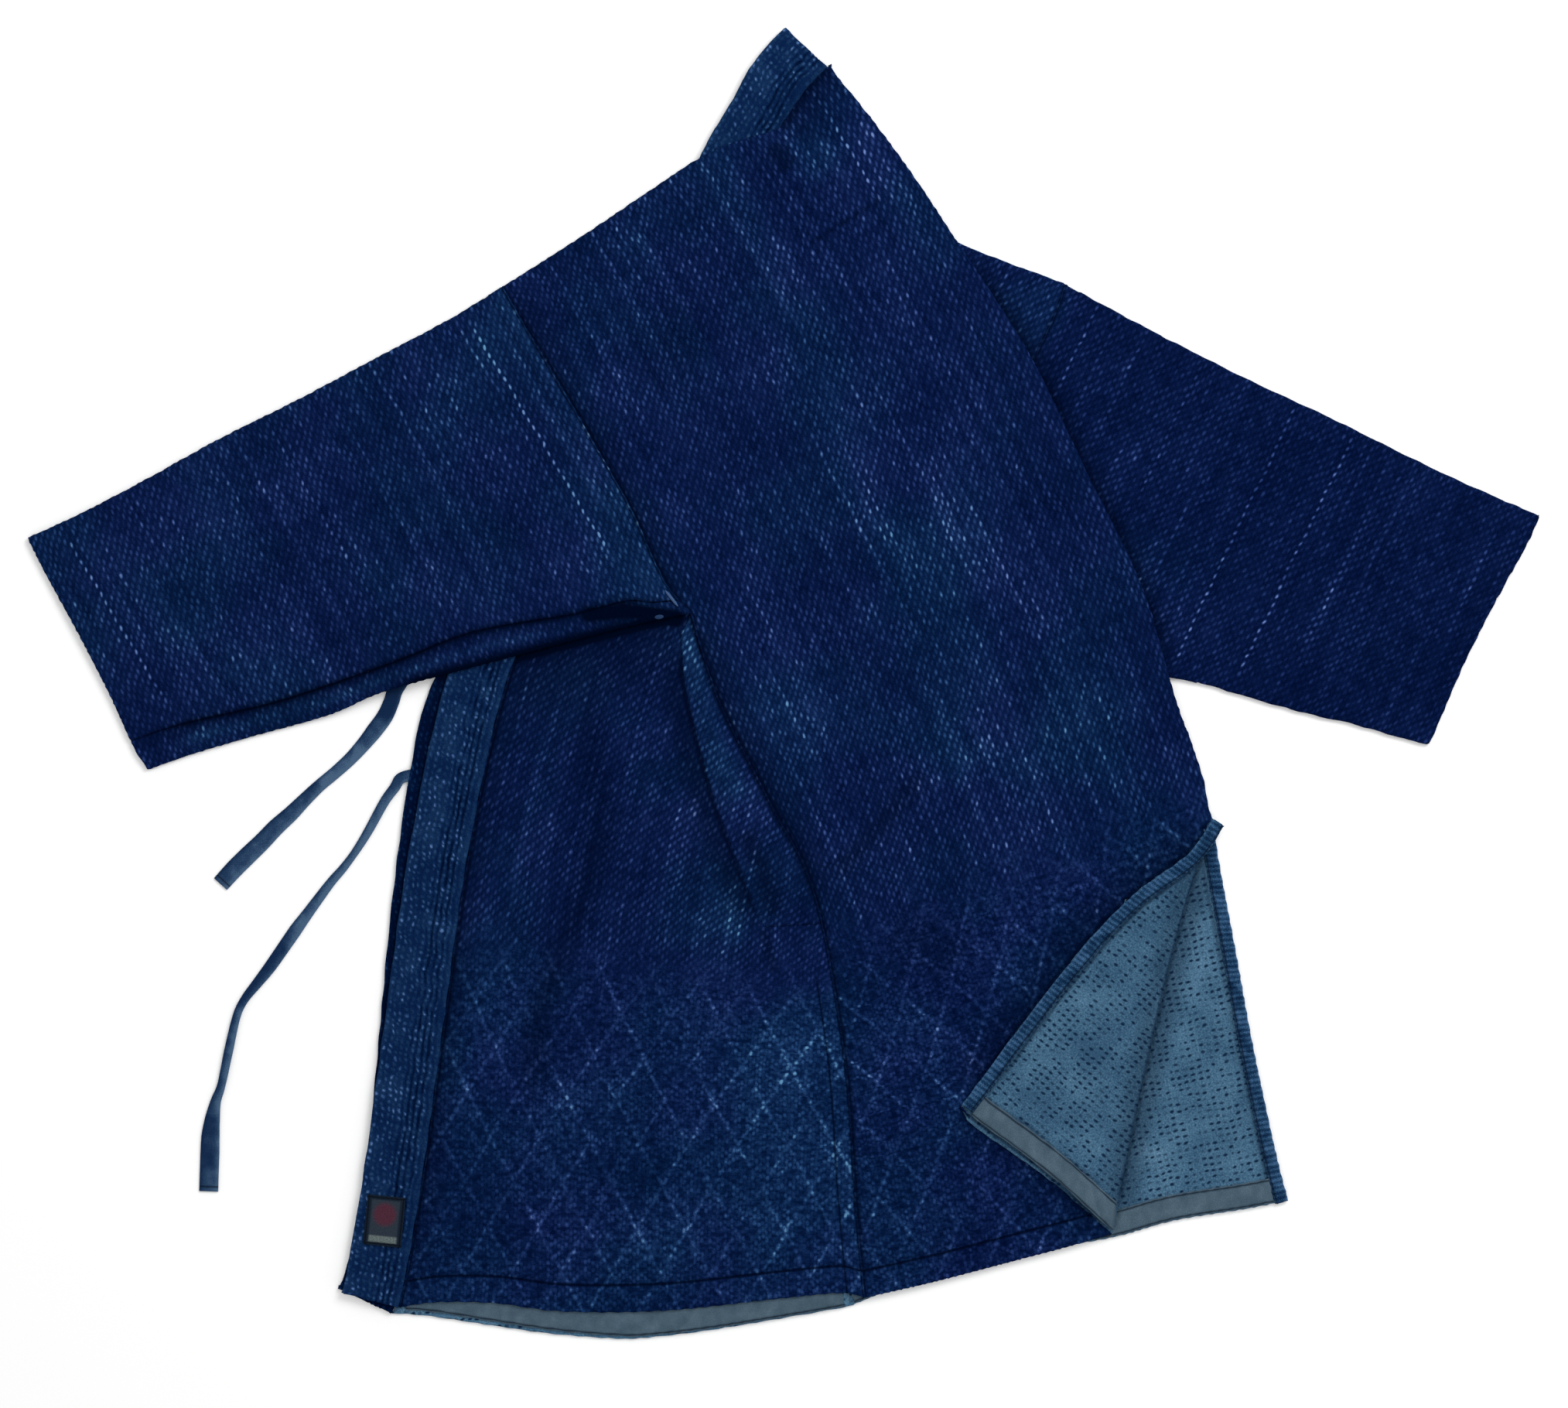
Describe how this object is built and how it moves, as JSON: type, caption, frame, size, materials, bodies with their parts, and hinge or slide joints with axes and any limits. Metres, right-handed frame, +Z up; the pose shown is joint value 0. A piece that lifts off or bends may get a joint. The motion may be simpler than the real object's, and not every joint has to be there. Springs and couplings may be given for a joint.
{
  "type": "sashiko jacket laid flat",
  "caption": "Wide-sleeved jacket of thick indigo sashiko cotton with a quilted collar band and ties, laid flat on its front with its right half turned under and a vent corner folded up.",
  "frame": {"origin": "on the surface that the jacket lies on, under the middle of its bounding box", "axes": "+Z up out of the surface, +Y towards the neck, +X towards the cuff of the right sleeve"},
  "size_m": [1.157, 1.0004, 0.013],
  "materials": {
    "sashiko_cloth": "matte indigo cotton, sashiko weave",
    "quilted_band": "matte indigo cotton, quilted in rows",
    "hem_tape": "matte grey cotton tape",
    "binding": "matte ribbed cotton binding",
    "tie": "matte flat cotton cord tape",
    "label": "plain woven label"
  },
  "bodies": {
    "root": {"front_right": "sashiko_cloth", "collar_right": "quilted_band", "sleeve_right": "sashiko_cloth", "back_right": "sashiko_cloth", "hem_tape_front_right": "hem_tape", "hem_tape_back_right": "hem_tape", "vent_binding_right": "binding", "front_left": "sashiko_cloth", "collar_left": "quilted_band", "tie_left": "tie", "tie_right": "tie", "sleeve_left": "sashiko_cloth", "back_left": "sashiko_cloth", "vent_binding_left": "binding", "hem_tape_back_left": "hem_tape", "label": "label"}
  },
  "joints": []
}
